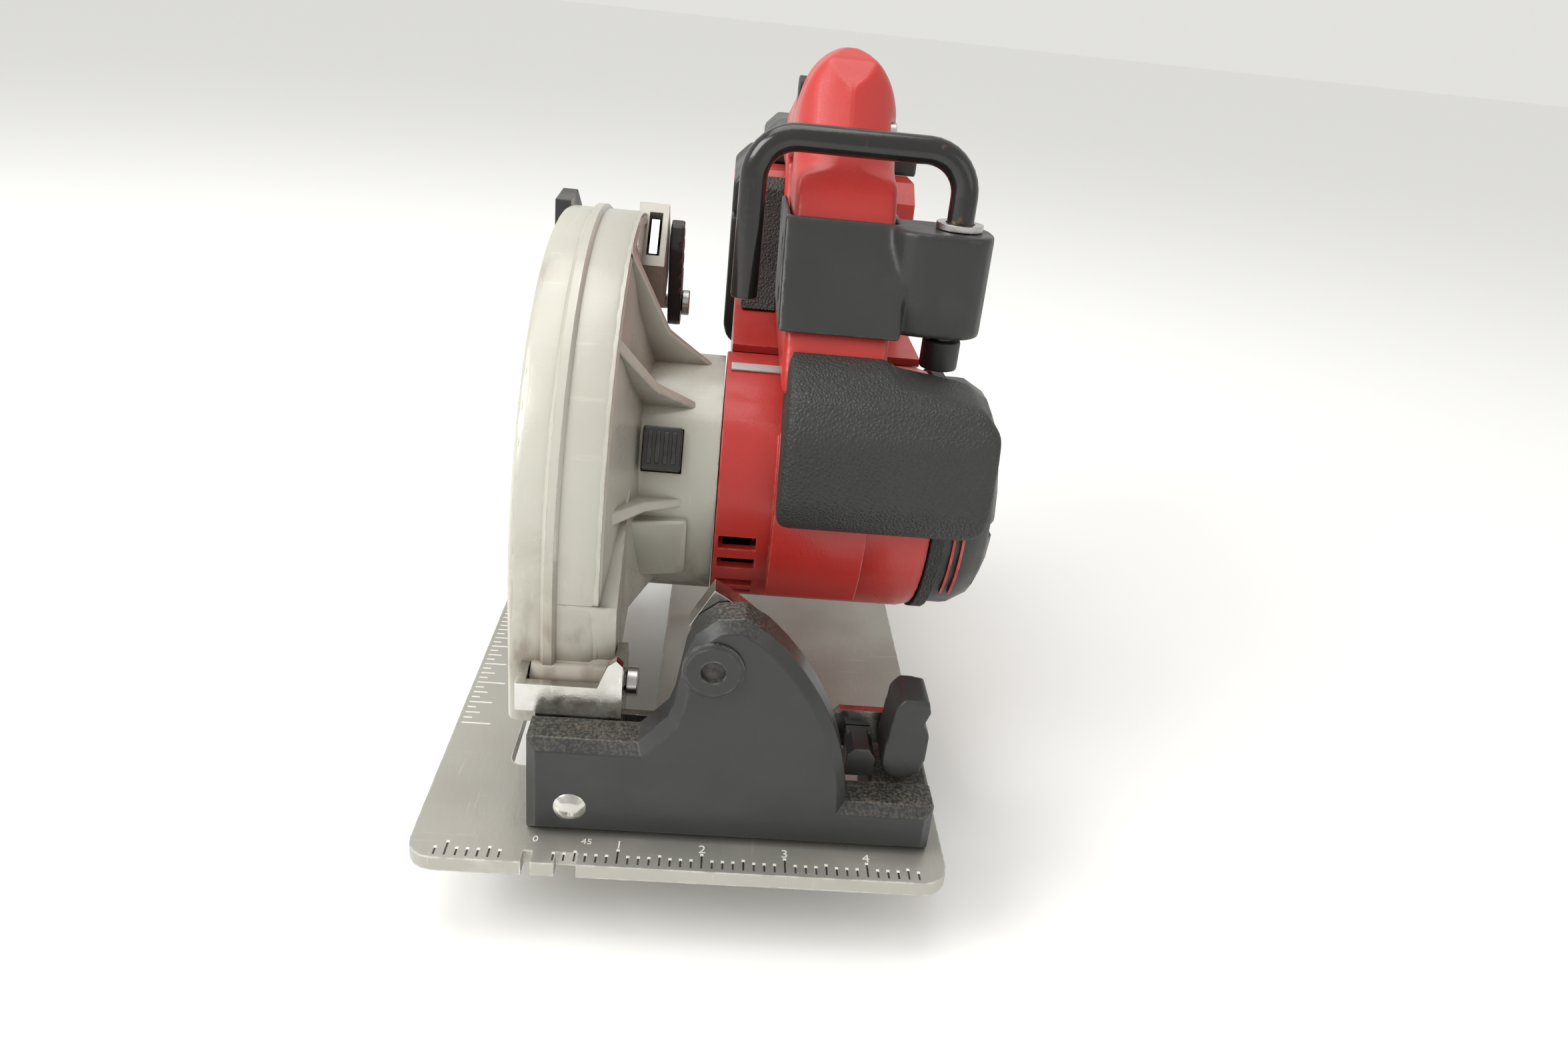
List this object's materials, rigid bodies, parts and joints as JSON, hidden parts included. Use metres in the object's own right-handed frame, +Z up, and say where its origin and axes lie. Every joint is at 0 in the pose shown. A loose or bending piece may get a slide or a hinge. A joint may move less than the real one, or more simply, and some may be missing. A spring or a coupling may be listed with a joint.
{
  "type": "circular saw",
  "caption": "Cordless circular saw with pivoting blade guard, tilting shoe, depth pivot, red motor housing, black grip knob, rafter hook and slide-on battery.",
  "frame": {"origin": "on the sole of the shoe, 80 mm to the motor side of the cut line and 130 mm behind the front edge", "axes": "+X from the blade towards the motor, +Y from the front of the saw to its rear, +Z up off the sole"},
  "size_m": [0.179, 0.32, 0.257],
  "materials": {
    "magnesium": "satin cast and brushed magnesium, stained and scratched",
    "guard_paint": "warm grey paint on cast magnesium, chipped and grimy",
    "red_nylon": "satin red glass-filled nylon",
    "black_rubber": "grained black overmoulded rubber",
    "black_plastic": "satin black moulding, dusty",
    "black_bracket": "satin black coated casting",
    "zinc": "bright zinc plate",
    "steel": "ground steel",
    "enamel": "gloss black enamel, worn at the bends",
    "copper": "copper winding and laminated steel",
    "label_film": "blank silver film"
  },
  "bodies": {
    "shoe": {"shoe_plate": "magnesium", "front_bracket": "black_bracket", "bracket_screw_1": "steel", "bracket_screw_2": "steel", "front_rivet": "zinc", "stop_screw": "steel", "bevel_quadrant": "zinc", "rear_bracket": "zinc", "rear_rivet": "zinc"},
    "tilt_frame": {"front_arm": "zinc", "depth_pin": "steel", "clamp_block": "black_plastic", "bevel_bolt": "steel", "rear_arm": "zinc"},
    "bevel_lock": {"bevel_knob": "black_plastic"},
    "saw_head": {"guard_cover": "guard_paint", "upper_guard": "guard_paint", "gear_plate": "steel", "spindle_bearing": "steel", "inner_bearing": "steel", "dust_chute": "black_plastic", "depth_bolt": "steel", "motor_housing": "red_nylon", "stator": "copper", "rear_bearing": "steel", "end_ring": "black_rubber", "end_cap": "black_plastic", "rating_label": "label_film", "handle_left": "red_nylon", "handle_right": "red_nylon", "handle_screw_1": "steel", "handle_screw_2": "steel", "front_knob": "black_rubber", "trigger_switch": "black_plastic", "hook_bracket": "black_plastic", "hook_washer": "steel", "rear_housing": "red_nylon", "battery_mount": "black_plastic", "guard_spring": "steel"},
    "depth_lock": {"depth_lever": "black_plastic"},
    "spindle_button": {"spindle_lock": "black_plastic"},
    "arbor": {"blade": "steel", "spindle": "steel", "drive_gear": "steel", "inner_flange": "steel", "outer_flange": "steel", "blade_bolt": "steel"},
    "motor_rotor": {"rotor": "steel", "fan": "black_plastic"},
    "lower_guard": {"lower_guard": "magnesium", "guard_lever": "black_plastic"},
    "trigger": {"trigger": "black_plastic"},
    "lock_off": {"lock_off": "black_plastic"},
    "hook": {"hook_rod": "enamel"},
    "battery": {"battery_tub": "black_plastic", "battery_lid": "black_plastic", "cell_pack": "steel"},
    "latch_left": {"battery_latch_left": "red_nylon"},
    "latch_right": {"battery_latch_right": "red_nylon"}
  },
  "joints": [
    {"name": "bevel_tilt", "type": "hinge", "parent": "shoe", "child": "tilt_frame", "pos_m": [-0.0702, -0.091, 0.0163], "axis": [0, -1, 0], "range_deg": [0, 50]},
    {"name": "bevel_knob_turn", "type": "hinge", "parent": "tilt_frame", "child": "bevel_lock", "pos_m": [0.0315, -0.097, 0.031], "axis": [0, 1, 0], "range_deg": [0, 80]},
    {"name": "depth_pivot", "type": "hinge", "parent": "tilt_frame", "child": "saw_head", "pos_m": [-0.075, -0.091, 0.045], "axis": [1, 0, 0], "range_deg": [-22, 9]},
    {"name": "depth_lever_turn", "type": "hinge", "parent": "saw_head", "child": "depth_lock", "pos_m": [-0.055, 0.04994, 0.13182], "axis": [1, 0, 0], "range_deg": [-25, 35]},
    {"name": "spindle_lock_press", "type": "slide", "parent": "saw_head", "child": "spindle_button", "axis": [0, 0.8643, -0.503], "range_m": [0, 0.0025], "stiffness_N_per_m": 600, "springref_m": -0.003},
    {"name": "motor_spin", "type": "hinge", "parent": "saw_head", "child": "motor_rotor", "pos_m": [0, -0.01501, 0.08703], "axis": [1, 0, 0], "continuous": true},
    {"name": "blade_spin", "type": "hinge", "parent": "saw_head", "child": "arbor", "pos_m": [-0.08, 0.00804, 0.07002], "axis": [1, 0, 0], "continuous": true},
    {"name": "lower_guard_swing", "type": "hinge", "parent": "saw_head", "child": "lower_guard", "pos_m": [-0.08, 0.00804, 0.07002], "axis": [1, 0, 0], "range_deg": [0, 115], "stiffness_Nm_per_rad": 0.8, "springref_deg": -34.38},
    {"name": "trigger_pull", "type": "slide", "parent": "saw_head", "child": "trigger", "axis": [0, 1, 0], "range_m": [0, 0.005], "stiffness_N_per_m": 500, "springref_m": -0.004},
    {"name": "lock_off_press", "type": "slide", "parent": "saw_head", "child": "lock_off", "axis": [1, 0, 0], "range_m": [0, 0.0015], "stiffness_N_per_m": 500, "springref_m": -0.003},
    {"name": "hook_swing", "type": "hinge", "parent": "saw_head", "child": "hook", "pos_m": [0.037, -0.033, 0.17], "axis": [0, 0, 1], "range_deg": [0, 180]},
    {"name": "battery_slide", "type": "slide", "parent": "saw_head", "child": "battery", "axis": [0, 1, 0], "range_m": [0, 0.1]},
    {"name": "latch_left_press", "type": "slide", "parent": "battery", "child": "latch_left", "axis": [1, 0, 0], "range_m": [0, 0.0015], "stiffness_N_per_m": 600, "springref_m": -0.003},
    {"name": "latch_right_press", "type": "slide", "parent": "battery", "child": "latch_right", "axis": [-1, 0, 0], "range_m": [0, 0.0015], "stiffness_N_per_m": 600, "springref_m": -0.003}
  ],
  "couplings": [
    {"joint": "blade_spin", "follows": "motor_spin", "ratio": -0.21429}
  ]
}
